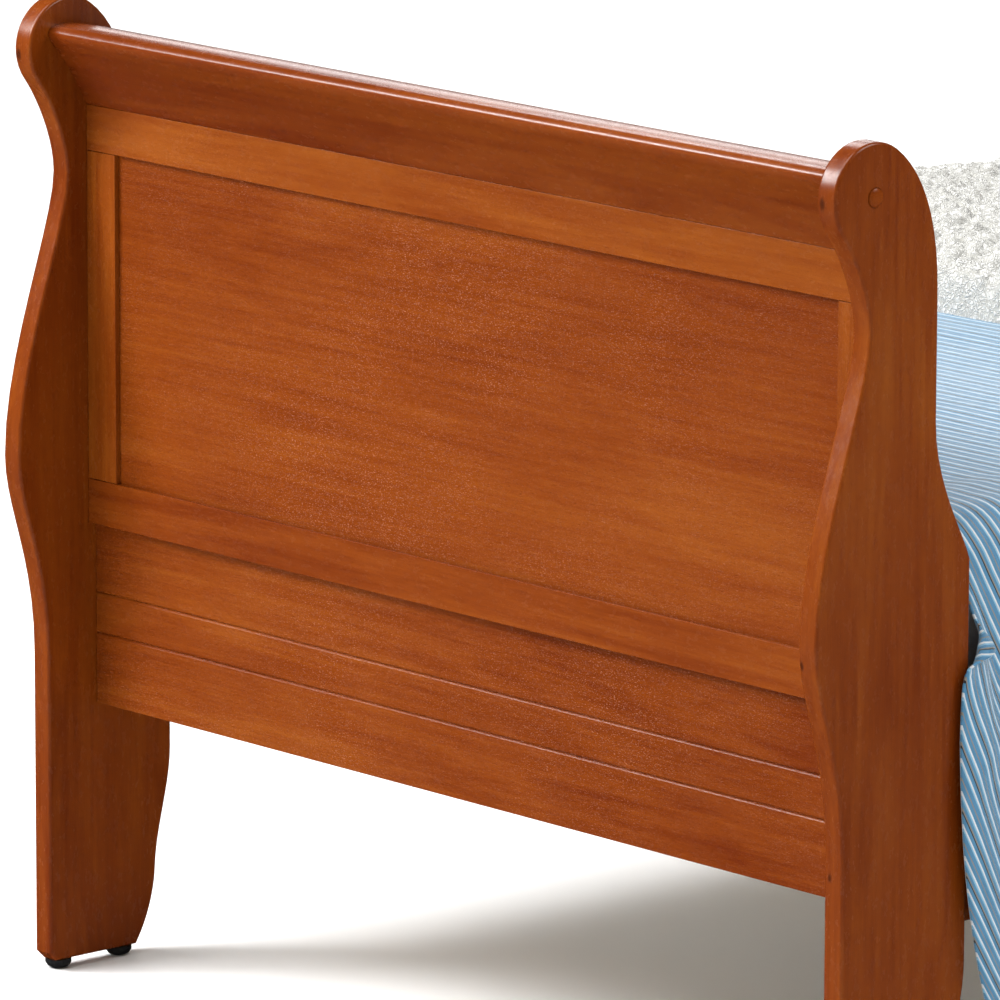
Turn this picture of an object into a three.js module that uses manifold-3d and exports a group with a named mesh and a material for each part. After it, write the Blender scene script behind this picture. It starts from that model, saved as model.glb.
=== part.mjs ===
// Sleigh bed, single size, dressed with a foundation, a mattress, a bedspread and a throw.
// Millimetres, +Z up, X across the bed, Y along it: the footboard is at -Y, the headboard at +Y.
// The origin is on the floor, under the middle of the bed.

import * as THREE from 'three';
import { mergeVertices } from 'three/addons/utils/BufferGeometryUtils.js';
import Module from 'manifold-3d';

const wasm = await Module();
wasm.setup();

// ---------------------------------------------------------------- driving dimensions

const FIT_GAP = 0.3;                    // between pieces that touch

const MATTRESS_WIDTH = 990;
const MATTRESS_LENGTH = 1905;
const MATTRESS_HEIGHT = 175;
const MATTRESS_SIDE_CLEARANCE = 6;      // to each side rail
const MATTRESS_END_CLEARANCE = 10;      // to the back of each crest rail
const FOUNDATION_HEIGHT = 114;

const POST_THICKNESS = 22;
const POST_DEPTH = 144;                 // of the straight part of the plank, front to back
const LEG_FOOT_DEPTH = 102;             // of the plank where it meets the floor
const LEG_TAPER_HEIGHT = 180;           // where the back of the leg starts to taper
const TOE_CHAMFER = 8;                  // on the outer bottom corner of the leg
const LEG_TOP_HEIGHT = 286;             // above the leg's foot, where the S curve starts
const BELLY_BULGE = 32.5;               // of the S curve, out past the leg
const NECK_DEPTH = 26;                  // of the S curve, in from the leg
const WAIST_DEPTH = 103;                // of the inner edge above the shoulder
const SCROLL_RADIUS = 45.5;
const SCROLL_CENTRE_DEPTH = 29;
const SCROLL_RISE = 53.5;               // of the scroll's centre above the crest rail's seat

const FOOTBOARD_CREST_SEAT = 785;       // heights above the leg's foot
const HEADBOARD_CREST_SEAT = 1115;
const FOOTBOARD_MID_RAIL_BOTTOM = 402;
const HEADBOARD_MID_RAIL_BOTTOM = 560;
const APRON_BOTTOM = 234;

const FRAME_SETBACK = 47.6;             // of the stiles and rails, in from the leg's front
const FRAME_THICKNESS = 20;
const STILE_WIDTH = 39.5;
const MID_RAIL_HEIGHT = 41;
const UPPER_RAIL_HEIGHT = 42;
const PANEL_RECESS = 5;
const PANEL_THICKNESS = 8;
const PANEL_GROOVE_DEPTH = 9;
const PANEL_GROOVE_CLEARANCE = 1;       // at the bottom of each groove, for the panel to move

const APRON_SETBACK = 55.6;
const APRON_THICKNESS = 18;
const APRON_GROOVE_HEIGHTS = [65.5, 103];   // above the apron's bottom edge
const APRON_GROOVE_WIDTH = 3;
const APRON_GROOVE_DEPTH = 2;

const TENON_LENGTH = 12;                // into the posts
const TENON_THICKNESS = 9;
const TENON_SHOULDER = 7;               // above and below each tenon

const CREST_BACK_DEPTH = 80;
const CREST_HEIGHT = 76;

const PLUG_DIAMETER = 16.5;
const PLUG_DEPTH = 6;
const PLUG_DOME = 3.2;
const SCREW_DIAMETER = 6;
const SCREW_HEAD_DIAMETER = 12;
const SCREW_HEAD_HEIGHT = 4;
const SCREW_LENGTH = 56;                // under the head

const GLIDE_DIAMETER = 24;
const GLIDE_HEIGHT = 9;
const GLIDE_NAIL_DIAMETER = 3;
const GLIDE_NAIL_LENGTH = 18;
const GLIDE_OUTER_DEPTH = 18;           // glide centres, in from the leg's front
const GLIDE_INNER_EDGE = 13;            // glide centre, from the foot's inner edge

const RAIL_THICKNESS = 22;
const RAIL_HEIGHT = 140;
const RAIL_BOTTOM = 213;                // above the leg's foot
const RAIL_INSET = 3;                   // of the side rail's outer face, in from the post's
const LEDGER_WIDTH = 22;
const LEDGER_HEIGHT = 20;
const LEDGER_RISE = 4;                  // above the rail's bottom edge
const LEDGER_END_GAP = 60;
const SLAT_COUNT = 4;
const SLAT_WIDTH = 90;
const SLAT_THICKNESS = 19;
const SLAT_END_CLEARANCE = 3;
const SLAT_FIRST_INSET = 150;           // of the outermost slats' centres, from the mattress ends

const HOOK_PLATE_WIDTH = 12;
const HOOK_PLATE_HEIGHT = 110;
const HOOK_PLATE_THICKNESS = 2.5;
const HOOK_THICKNESS = 4;
const HOOK_NECK_HEIGHT = 10;
const HOOK_LIP_DROP = 8;
const HOOK_LIP_THICKNESS = 3;
const HOOK_SPACING = 52;                // between the two hooks of a plate
const HOOK_SIDE_CLEARANCE = 0.8;
const UNHOOK_LIFT = 10;                 // that frees the hooks from their slots
const HOOK_MORTISE_DEPTH = 16;
const HOOK_MORTISE_SPARE = 3;           // round the hooks, at the ends of the mortise

const BEDSPREAD_THICKNESS = 5;
const BEDSPREAD_HEM_HEIGHT = 110;       // above the floor, on the right
const BEDSPREAD_SHIFT = 110;            // the bedspread lies this far off centre, to the right
const BEDSPREAD_RAIL_CLEARANCE = 8;     // outside the post's outer face
const BEDSPREAD_POST_CLEARANCE = 6;     // to the inner edge of each post
const THROW_THICKNESS = 22;
const THROW_LENGTH = 1016;              // along the bed
const THROW_PLACE = 0.135;              // its middle's way to the head, as a share of the mattress
const THROW_OVERHANG = 140;             // down each side

const LEFT = -1;
const RIGHT = 1;
const FOOT = -1;
const HEAD = 1;

// ---------------------------------------------------------------- derived places

const railInnerFace = MATTRESS_WIDTH / 2 + MATTRESS_SIDE_CLEARANCE;
const railOuterFace = railInnerFace + RAIL_THICKNESS;
const postOuterFace = railOuterFace + RAIL_INSET;
const postInnerFace = postOuterFace - POST_THICKNESS;
// The middle of the wood that the rail's end and the post's edge share.
const hookCentre = (Math.max(railInnerFace, postInnerFace) + Math.min(railOuterFace, postOuterFace)) / 2;

const legFront = MATTRESS_LENGTH / 2 + MATTRESS_END_CLEARANCE + CREST_BACK_DEPTH;
const postInnerEdge = legFront - POST_DEPTH;

const railBottom = GLIDE_HEIGHT + RAIL_BOTTOM;
const ledgerBottom = railBottom + LEDGER_RISE;
const slatBottom = ledgerBottom + LEDGER_HEIGHT + FIT_GAP;
const foundationBottom = slatBottom + SLAT_THICKNESS + FIT_GAP;
const mattressBottom = foundationBottom + FOUNDATION_HEIGHT + FIT_GAP;
const mattressTop = mattressBottom + MATTRESS_HEIGHT;
const bedspreadBottom = mattressTop + FIT_GAP;
const bedspreadTop = bedspreadBottom + BEDSPREAD_THICKNESS;
const dropInnerFace = postOuterFace + BEDSPREAD_RAIL_CLEARANCE;
const dropOuterFace = dropInnerFace + BEDSPREAD_THICKNESS;
const throwBottom = bedspreadTop + FIT_GAP;
const throwTop = throwBottom + THROW_THICKNESS;

const plateCentre = railBottom + RAIL_HEIGHT / 2;
const hookSeats = [plateCentre - HOOK_SPACING / 2, plateCentre + HOOK_SPACING / 2];
const slotHeight = HOOK_NECK_HEIGHT + UNHOOK_LIFT + 2 * FIT_GAP;

const grooveThickness = PANEL_THICKNESS + 2 * FIT_GAP;
const panelDepth = FRAME_SETBACK + PANEL_RECESS;
const grooveDepth = panelDepth - FIT_GAP;
const frameTenonDepth = FRAME_SETBACK + (FRAME_THICKNESS - TENON_THICKNESS) / 2;
const apronTenonDepth = APRON_SETBACK + (APRON_THICKNESS - TENON_THICKNESS) / 2;

const ENDS = [
  { name: 'footboard', side: FOOT, crestSeat: FOOTBOARD_CREST_SEAT, midRailBottom: FOOTBOARD_MID_RAIL_BOTTOM },
  { name: 'headboard', side: HEAD, crestSeat: HEADBOARD_CREST_SEAT, midRailBottom: HEADBOARD_MID_RAIL_BOTTOM },
];
const SIDES = [
  { name: 'left', side: LEFT },
  { name: 'right', side: RIGHT },
];

// ---------------------------------------------------------------- materials

function material(color, roughness, metalness) {
  return new THREE.MeshStandardMaterial({ color, roughness, metalness });
}

const MATERIALS = {
  wood: () => material(0xa9501c, 0.4, 0),
  slatWood: () => material(0xd2b07c, 0.7, 0),
  zincSteel: () => material(0x9a9c9e, 0.35, 1),
  glidePlastic: () => material(0x18181a, 0.45, 0),
  foundationCloth: () => material(0xd9d5cc, 0.9, 0),
  mattressCloth: () => material(0xf0eee8, 0.9, 0),
  bedspreadCloth: () => material(0x6c9cc4, 0.85, 0),
  throwCloth: () => material(0xf1ede2, 0.95, 0),
};

// ---------------------------------------------------------------- solid helpers

const bed = new THREE.Group();

function addPiece(name, geometry, materialName) {
  const mesh = new THREE.Mesh(geometry, MATERIALS[materialName]());
  mesh.name = name;
  bed.add(mesh);
}

// A block between two corners, given in any order.
function block(x0, x1, y0, y1, z0, z1) {
  const geometry = new THREE.BoxGeometry(Math.abs(x1 - x0), Math.abs(y1 - y0), Math.abs(z1 - z0));
  geometry.translate((x0 + x1) / 2, (y0 + y1) / 2, (z0 + z1) / 2);
  return geometry;
}

function toSolid(geometry) {
  const bare = geometry.clone();
  bare.deleteAttribute('normal');
  bare.deleteAttribute('uv');
  const merged = mergeVertices(bare, 1e-4);
  return new wasm.Manifold(new wasm.Mesh({
    numProp: 3,
    vertProperties: new Float32Array(merged.attributes.position.array),
    triVerts: new Uint32Array(merged.index.array),
  }));
}

function toGeometry(solid) {
  const mesh = solid.getMesh();
  const geometry = new THREE.BufferGeometry();
  geometry.setAttribute('position', new THREE.BufferAttribute(mesh.vertProperties, 3));
  geometry.setIndex(new THREE.BufferAttribute(mesh.triVerts, 1));
  geometry.computeVertexNormals();
  return geometry;
}

function cut(body, tools) {
  const solid = tools.reduce((rest, tool) => rest.subtract(toSolid(tool)), toSolid(body));
  return toGeometry(solid);
}

function join(body, parts) {
  const solid = parts.reduce((sum, part) => sum.add(toSolid(part)), toSolid(body));
  return toGeometry(solid);
}

// A (Y, Z) section carried from x0 to x1.
function carryAcross(section, x0, x1) {
  const geometry = new THREE.ExtrudeGeometry(section, {
    depth: x1 - x0,
    bevelEnabled: false,
    curveSegments: 10,
  });
  const turn = new THREE.Matrix4().makeBasis(
    new THREE.Vector3(0, 1, 0),
    new THREE.Vector3(0, 0, 1),
    new THREE.Vector3(1, 0, 0),
  );
  geometry.applyMatrix4(turn);
  geometry.translate(x0, 0, 0);
  return geometry;
}

// A turned piece from (radius, height) points, from the axis back to the axis, heights rising.
function turned(profile, segments) {
  const points = profile.map(([radius, height]) => new THREE.Vector2(radius, height));
  return new THREE.LatheGeometry(points, segments);
}

function turnedUp(profile, x, y, z) {
  const geometry = turned(profile, 20);
  geometry.rotateX(Math.PI / 2);
  geometry.translate(x, y, z);
  return geometry;
}

// Turned about X, with its heights rising towards the given side.
function turnedOutward(profile, side, x, y, z) {
  const geometry = turned(profile, 24);
  geometry.rotateZ(-side * Math.PI / 2);
  geometry.translate(x, y, z);
  return geometry;
}

function pegProfile(diameter, length) {
  return [[0, 0], [diameter / 2, 0], [diameter / 2, length], [0, length]];
}

// Depth in from the leg's front, turned into Y at the foot or head end.
function atDepth(end, depth) {
  return end.side * (legFront - depth);
}

// ---------------------------------------------------------------- posts

// The plank's outline: leg, belly, neck and scroll on the outer edge, waist, shoulder and
// tapered leg on the inner one. The S curve's levels are shares of its own height.
function postOutline(end) {
  const level = (share) => LEG_TOP_HEIGHT + share * (end.crestSeat - LEG_TOP_HEIGHT);
  const belly = level(0.372);
  const shoulder = level(0.484);
  const waistBottom = level(0.717);
  const neck = level(0.878);
  const waistTop = level(0.937);
  const scrollCentre = end.crestSeat + SCROLL_RISE;
  const throatAngle = THREE.MathUtils.degToRad(218);
  const napeAngle = THREE.MathUtils.degToRad(56);
  const onScroll = (angle) => [
    SCROLL_CENTRE_DEPTH + SCROLL_RADIUS * Math.cos(angle),
    scrollCentre + SCROLL_RADIUS * Math.sin(angle),
  ];
  const [throatDepth, throatHeight] = onScroll(throatAngle);
  const [napeDepth, napeHeight] = onScroll(napeAngle);
  const throatReach = 20;
  const napeReach = 36;

  const outline = new THREE.Shape();
  const point = (depth, height) => [atDepth(end, depth), GLIDE_HEIGHT + height];
  const lineTo = (depth, height) => outline.lineTo(...point(depth, height));
  const curveTo = (first, second, last) => {
    outline.bezierCurveTo(...point(...first), ...point(...second), ...point(...last));
  };

  outline.moveTo(...point(TOE_CHAMFER, 0));
  lineTo(0, TOE_CHAMFER);
  lineTo(0, LEG_TOP_HEIGHT);
  const legToBelly = belly - LEG_TOP_HEIGHT;
  curveTo([0, LEG_TOP_HEIGHT + 0.485 * legToBelly], [-BELLY_BULGE, belly - 0.27 * legToBelly], [-BELLY_BULGE, belly]);
  const bellyToNeck = neck - belly;
  curveTo([-BELLY_BULGE, belly + 0.364 * bellyToNeck], [NECK_DEPTH, neck - 0.182 * bellyToNeck], [NECK_DEPTH, neck]);
  curveTo(
    [NECK_DEPTH, neck + 0.36 * (throatHeight - neck)],
    [throatDepth - throatReach * Math.sin(throatAngle), throatHeight + throatReach * Math.cos(throatAngle)],
    [throatDepth, throatHeight],
  );
  const scrollSteps = 20;
  for (let step = 1; step <= scrollSteps; step += 1) {
    lineTo(...onScroll(THREE.MathUtils.lerp(throatAngle, napeAngle, step / scrollSteps)));
  }
  curveTo(
    [napeDepth + napeReach * Math.sin(napeAngle), napeHeight - napeReach * Math.cos(napeAngle)],
    [WAIST_DEPTH, waistTop + 0.5 * (napeHeight - waistTop)],
    [WAIST_DEPTH, waistTop],
  );
  lineTo(WAIST_DEPTH, waistBottom);
  const waistToShoulder = waistBottom - shoulder;
  curveTo(
    [WAIST_DEPTH, waistBottom - 0.45 * waistToShoulder],
    [POST_DEPTH - 7, shoulder + 0.16 * waistToShoulder],
    [POST_DEPTH, shoulder - 4],
  );
  lineTo(POST_DEPTH, LEG_TAPER_HEIGHT);
  const ankleDepth = LEG_FOOT_DEPTH + 0.56 * (POST_DEPTH - LEG_FOOT_DEPTH);
  const ankle = 0.4 * LEG_TAPER_HEIGHT;
  curveTo([POST_DEPTH, 0.8 * LEG_TAPER_HEIGHT], [ankleDepth + 2, 1.5 * ankle], [ankleDepth, ankle]);
  curveTo([ankleDepth - 1, 0.6 * ankle], [LEG_FOOT_DEPTH + 12, 0.25 * ankle], [LEG_FOOT_DEPTH, 0]);
  outline.closePath();
  return outline;
}

function scrollCentreHeight(end) {
  return GLIDE_HEIGHT + end.crestSeat + SCROLL_RISE;
}

function glideDepths() {
  return [
    { name: 'outer', depth: GLIDE_OUTER_DEPTH },
    { name: 'inner', depth: LEG_FOOT_DEPTH - GLIDE_INNER_EDGE },
  ];
}

// The rails and the apron of one end: their heights and where their tenons enter the posts.
function crossMembers(end) {
  return [
    {
      name: 'upper_rail',
      bottom: end.crestSeat - UPPER_RAIL_HEIGHT,
      top: end.crestSeat - FIT_GAP,
      tenonDepth: frameTenonDepth,
    },
    {
      name: 'mid_rail',
      bottom: end.midRailBottom,
      top: end.midRailBottom + MID_RAIL_HEIGHT,
      tenonDepth: frameTenonDepth,
    },
    {
      name: 'apron',
      bottom: APRON_BOTTOM,
      top: end.midRailBottom - FIT_GAP,
      tenonDepth: apronTenonDepth,
    },
  ];
}

function tenon(end, member, side, clearance) {
  const root = side * (postInnerFace - 2 * FIT_GAP - clearance);
  const tip = side * (postInnerFace + TENON_LENGTH + clearance);
  return block(
    root, tip,
    atDepth(end, member.tenonDepth - clearance),
    atDepth(end, member.tenonDepth + TENON_THICKNESS + clearance),
    GLIDE_HEIGHT + member.bottom + TENON_SHOULDER - clearance,
    GLIDE_HEIGHT + member.top - TENON_SHOULDER + clearance,
  );
}

function makePost(end, { name, side }) {
  const inner = side * postInnerFace;
  const outer = side * postOuterFace;
  const plank = carryAcross(postOutline(end), Math.min(inner, outer), Math.max(inner, outer));
  const scrollY = atDepth(end, SCROLL_CENTRE_DEPTH);
  const scrollZ = scrollCentreHeight(end);
  const plugSeat = postOuterFace - PLUG_DEPTH - SCREW_HEAD_HEIGHT - 2 * FIT_GAP;
  const mortises = crossMembers(end).map((member) => tenon(end, member, side, FIT_GAP));
  const screwBore = turnedOutward(
    pegProfile(SCREW_DIAMETER + 2 * FIT_GAP, POST_THICKNESS + 2),
    side, side * (postInnerFace - 1), scrollY, scrollZ,
  );
  const plugBore = turnedOutward(
    pegProfile(PLUG_DIAMETER + 2 * FIT_GAP, POST_THICKNESS),
    side, side * plugSeat, scrollY, scrollZ,
  );
  const nailHoles = glideDepths().map(({ depth }) => turnedUp(
    pegProfile(GLIDE_NAIL_DIAMETER + 2 * FIT_GAP, GLIDE_NAIL_LENGTH + 2),
    side * (postInnerFace + POST_THICKNESS / 2), atDepth(end, depth), GLIDE_HEIGHT - 1,
  ));
  const plateRecess = block(
    side * (hookCentre - HOOK_PLATE_WIDTH / 2 - FIT_GAP),
    side * (hookCentre + HOOK_PLATE_WIDTH / 2 + FIT_GAP),
    end.side * (postInnerEdge - 1),
    end.side * (postInnerEdge + HOOK_PLATE_THICKNESS + FIT_GAP),
    plateCentre - HOOK_PLATE_HEIGHT / 2 - FIT_GAP,
    plateCentre + HOOK_PLATE_HEIGHT / 2 + FIT_GAP,
  );
  const hookMortise = block(
    side * (hookCentre - HOOK_THICKNESS / 2 - HOOK_SIDE_CLEARANCE),
    side * (hookCentre + HOOK_THICKNESS / 2 + HOOK_SIDE_CLEARANCE),
    end.side * (postInnerEdge - 1),
    end.side * (postInnerEdge + HOOK_MORTISE_DEPTH),
    hookSeats[0] - HOOK_LIP_DROP - HOOK_MORTISE_SPARE,
    hookSeats[1] + slotHeight + HOOK_MORTISE_SPARE,
  );
  const post = cut(plank, [...mortises, screwBore, plugBore, ...nailHoles, plateRecess, hookMortise]);
  addPiece(`${end.name}_post_${name}`, post, 'wood');
}

function makePlugAndScrew(end, { name, side }) {
  const y = atDepth(end, SCROLL_CENTRE_DEPTH);
  const z = scrollCentreHeight(end);
  const plugInner = postOuterFace - PLUG_DEPTH;
  const rim = PLUG_DIAMETER / 2;
  const domeSteps = 5;
  const plugProfile = [[0, 0], [rim, 0], [rim, PLUG_DEPTH]];
  for (let step = 1; step <= domeSteps; step += 1) {
    const angle = (step / domeSteps) * Math.PI / 2;
    const radius = step === domeSteps ? 0 : rim * Math.cos(angle);
    plugProfile.push([radius, PLUG_DEPTH + PLUG_DOME * Math.sin(angle)]);
  }
  addPiece(`${end.name}_plug_${name}`, turnedOutward(plugProfile, side, side * plugInner, y, z), 'wood');

  const head = SCREW_HEAD_DIAMETER / 2;
  const shank = SCREW_DIAMETER / 2;
  const screwProfile = [
    [0, 0], [shank * 0.3, 0], [shank, 8], [shank, SCREW_LENGTH],
    [head, SCREW_LENGTH], [head, SCREW_LENGTH + SCREW_HEAD_HEIGHT], [0, SCREW_LENGTH + SCREW_HEAD_HEIGHT],
  ];
  const tip = plugInner - FIT_GAP - SCREW_HEAD_HEIGHT - SCREW_LENGTH;
  addPiece(
    `${end.name}_crest_screw_${name}`,
    turnedOutward(screwProfile, side, side * tip, y, z),
    'zincSteel',
  );
}

function makeGlides(end, { name, side }) {
  const rim = GLIDE_DIAMETER / 2;
  const nail = GLIDE_NAIL_DIAMETER / 2;
  const seat = GLIDE_HEIGHT - FIT_GAP;
  const profile = [
    [0, 0], [0.5 * rim, 0], [0.82 * rim, 0.22 * seat], [rim, 0.6 * seat], [rim, seat],
    [nail, seat], [nail, seat + GLIDE_NAIL_LENGTH - 3], [0, seat + GLIDE_NAIL_LENGTH],
  ];
  const x = side * (postInnerFace + POST_THICKNESS / 2);
  glideDepths().forEach((glide) => {
    const geometry = turnedUp(profile, x, atDepth(end, glide.depth), 0);
    addPiece(`${end.name}_glide_${name}_${glide.name}`, geometry, 'glidePlastic');
  });
}

// ---------------------------------------------------------------- frame and panel between posts

// The crest rail's section: a cove that sweeps out to a rounded nose, and a sloping top.
function crestSection(end) {
  const seat = GLIDE_HEIGHT + end.crestSeat;
  const point = (depth, rise) => [atDepth(end, depth), seat + rise];
  const frameBack = FRAME_SETBACK + FRAME_THICKNESS;
  const noseTop = CREST_HEIGHT - 1.6;
  const backTop = CREST_HEIGHT - 12;
  const section = new THREE.Shape();
  const curveTo = (first, second, last) => {
    section.bezierCurveTo(...point(...first), ...point(...second), ...point(...last));
  };
  section.moveTo(...point(FRAME_SETBACK, 0));
  curveTo([39, 0.24 * CREST_HEIGHT], [24, 0.55 * CREST_HEIGHT], [10, 0.75 * CREST_HEIGHT]);
  curveTo([3, 0.86 * CREST_HEIGHT], [2, 0.94 * CREST_HEIGHT], [12, noseTop]);
  curveTo([30, CREST_HEIGHT + 3], [0.69 * CREST_BACK_DEPTH, CREST_HEIGHT - 5], [CREST_BACK_DEPTH - 3, backTop]);
  curveTo(
    [CREST_BACK_DEPTH, backTop - 2],
    [CREST_BACK_DEPTH, backTop - 8],
    [CREST_BACK_DEPTH, backTop - 14],
  );
  curveTo([CREST_BACK_DEPTH, 0.4 * CREST_HEIGHT], [frameBack + 2, 0.26 * CREST_HEIGHT], [frameBack, 0]);
  section.closePath();
  return section;
}

function makeCrestRail(end) {
  const halfLength = postInnerFace - FIT_GAP;
  const moulding = carryAcross(crestSection(end), -halfLength, halfLength);
  const y = atDepth(end, SCROLL_CENTRE_DEPTH);
  const z = scrollCentreHeight(end);
  const pilots = SIDES.map(({ side }) => turnedOutward(
    pegProfile(SCREW_DIAMETER + 2 * FIT_GAP, SCREW_LENGTH),
    side, side * (postInnerFace + POST_THICKNESS - PLUG_DEPTH - SCREW_LENGTH - 2 * SCREW_HEAD_HEIGHT), y, z,
  ));
  addPiece(`${end.name}_crest_rail`, cut(moulding, pilots), 'wood');
}

// A rail across the end with a groove for the panel along one edge.
function makeFrameRail(end, member, grooveAtTop) {
  const halfLength = postInnerFace - FIT_GAP;
  const bottom = GLIDE_HEIGHT + member.bottom;
  const top = GLIDE_HEIGHT + member.top;
  const bar = block(
    -halfLength, halfLength,
    atDepth(end, FRAME_SETBACK), atDepth(end, FRAME_SETBACK + FRAME_THICKNESS),
    bottom, top,
  );
  const tenoned = join(bar, SIDES.map(({ side }) => tenon(end, member, side, 0)));
  const grooveEdge = grooveAtTop ? top : bottom;
  const into = grooveAtTop ? -1 : 1;
  const groove = block(
    -halfLength + STILE_WIDTH / 4, halfLength - STILE_WIDTH / 4,
    atDepth(end, grooveDepth), atDepth(end, grooveDepth + grooveThickness),
    grooveEdge - into, grooveEdge + into * PANEL_GROOVE_DEPTH,
  );
  addPiece(`${end.name}_${member.name}`, cut(tenoned, [groove]), 'wood');
}

function makeStile(end, { name, side }, bottom, top) {
  const outer = side * (postInnerFace - FIT_GAP);
  const inner = side * (postInnerFace - STILE_WIDTH);
  const bar = block(
    outer, inner,
    atDepth(end, FRAME_SETBACK), atDepth(end, FRAME_SETBACK + FRAME_THICKNESS),
    bottom + FIT_GAP, top - FIT_GAP,
  );
  const tenonReach = PANEL_GROOVE_DEPTH - PANEL_GROOVE_CLEARANCE;
  const stub = block(
    side * (postInnerFace - STILE_WIDTH / 4 - 2 * FIT_GAP),
    side * (postInnerFace - STILE_WIDTH + PANEL_GROOVE_DEPTH + 1),
    atDepth(end, panelDepth), atDepth(end, panelDepth + PANEL_THICKNESS),
    bottom - tenonReach, top + tenonReach,
  );
  const groove = block(
    inner - side, inner + side * PANEL_GROOVE_DEPTH,
    atDepth(end, grooveDepth), atDepth(end, grooveDepth + grooveThickness),
    bottom - 2 * PANEL_GROOVE_DEPTH, top + 2 * PANEL_GROOVE_DEPTH,
  );
  addPiece(`${end.name}_stile_${name}`, cut(join(bar, [stub]), [groove]), 'wood');
}

function makePanel(end, bottom, top) {
  const reach = PANEL_GROOVE_DEPTH - PANEL_GROOVE_CLEARANCE;
  const halfWidth = postInnerFace - STILE_WIDTH + reach;
  addPiece(
    `${end.name}_panel`,
    block(
      -halfWidth, halfWidth,
      atDepth(end, panelDepth), atDepth(end, panelDepth + PANEL_THICKNESS),
      bottom - reach, top + reach,
    ),
    'wood',
  );
}

// The apron board, with two V grooves along its outer face.
function makeApron(end, member) {
  const halfLength = postInnerFace - FIT_GAP;
  const bottom = GLIDE_HEIGHT + member.bottom;
  const top = GLIDE_HEIGHT + member.top;
  const section = new THREE.Shape();
  section.moveTo(atDepth(end, APRON_SETBACK), bottom);
  APRON_GROOVE_HEIGHTS.forEach((height) => {
    section.lineTo(atDepth(end, APRON_SETBACK), bottom + height - APRON_GROOVE_WIDTH / 2);
    section.lineTo(atDepth(end, APRON_SETBACK + APRON_GROOVE_DEPTH), bottom + height);
    section.lineTo(atDepth(end, APRON_SETBACK), bottom + height + APRON_GROOVE_WIDTH / 2);
  });
  section.lineTo(atDepth(end, APRON_SETBACK), top);
  section.lineTo(atDepth(end, APRON_SETBACK + APRON_THICKNESS), top);
  section.lineTo(atDepth(end, APRON_SETBACK + APRON_THICKNESS), bottom);
  section.closePath();
  const board = carryAcross(section, -halfLength, halfLength);
  const tenons = SIDES.map(({ side }) => tenon(end, member, side, 0));
  addPiece(`${end.name}_${member.name}`, join(board, tenons), 'wood');
}

function makeEnd(end) {
  const [upperRail, midRail, apron] = crossMembers(end);
  const panelBottom = GLIDE_HEIGHT + midRail.top;
  const panelTop = GLIDE_HEIGHT + upperRail.bottom;
  SIDES.forEach((flank) => {
    makePost(end, flank);
    makePlugAndScrew(end, flank);
    makeGlides(end, flank);
    makeStile(end, flank, panelBottom, panelTop);
  });
  makeCrestRail(end);
  makeFrameRail(end, upperRail, false);
  makeFrameRail(end, midRail, true);
  makePanel(end, panelBottom, panelTop);
  makeApron(end, apron);
}

// ---------------------------------------------------------------- side rails, hooks and slats

// The slotted plate let into the post's inner edge.
function makeSlotPlate(end, { name, side }) {
  const plate = block(
    side * (hookCentre - HOOK_PLATE_WIDTH / 2),
    side * (hookCentre + HOOK_PLATE_WIDTH / 2),
    end.side * postInnerEdge,
    end.side * (postInnerEdge + HOOK_PLATE_THICKNESS),
    plateCentre - HOOK_PLATE_HEIGHT / 2,
    plateCentre + HOOK_PLATE_HEIGHT / 2,
  );
  const slots = hookSeats.map((seat) => block(
    side * (hookCentre - HOOK_THICKNESS / 2 - HOOK_SIDE_CLEARANCE),
    side * (hookCentre + HOOK_THICKNESS / 2 + HOOK_SIDE_CLEARANCE),
    end.side * (postInnerEdge - 1),
    end.side * (postInnerEdge + HOOK_PLATE_THICKNESS + 1),
    seat - FIT_GAP,
    seat - FIT_GAP + slotHeight,
  ));
  addPiece(`${end.name}_slot_plate_${name}`, cut(plate, slots), 'zincSteel');
}

// The plate let into the rail's end, with two hooks that reach through the post's slots.
function makeHookPlate(end, { name, side }) {
  const railEnd = postInnerEdge - FIT_GAP;
  const plate = block(
    side * (hookCentre - HOOK_PLATE_WIDTH / 2),
    side * (hookCentre + HOOK_PLATE_WIDTH / 2),
    end.side * railEnd,
    end.side * (railEnd - HOOK_PLATE_THICKNESS),
    plateCentre - HOOK_PLATE_HEIGHT / 2,
    plateCentre + HOOK_PLATE_HEIGHT / 2,
  );
  const lipInner = postInnerEdge + HOOK_PLATE_THICKNESS + FIT_GAP;
  const lipOuter = lipInner + HOOK_LIP_THICKNESS;
  const x0 = side * (hookCentre - HOOK_THICKNESS / 2);
  const x1 = side * (hookCentre + HOOK_THICKNESS / 2);
  const hooks = hookSeats.flatMap((seat) => [
    block(x0, x1, end.side * (railEnd - 1), end.side * lipOuter, seat, seat + HOOK_NECK_HEIGHT),
    block(x0, x1, end.side * lipInner, end.side * lipOuter, seat - HOOK_LIP_DROP, seat + 1),
  ]);
  addPiece(`${end.name}_rail_hook_${name}`, join(plate, hooks), 'zincSteel');
}

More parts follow.
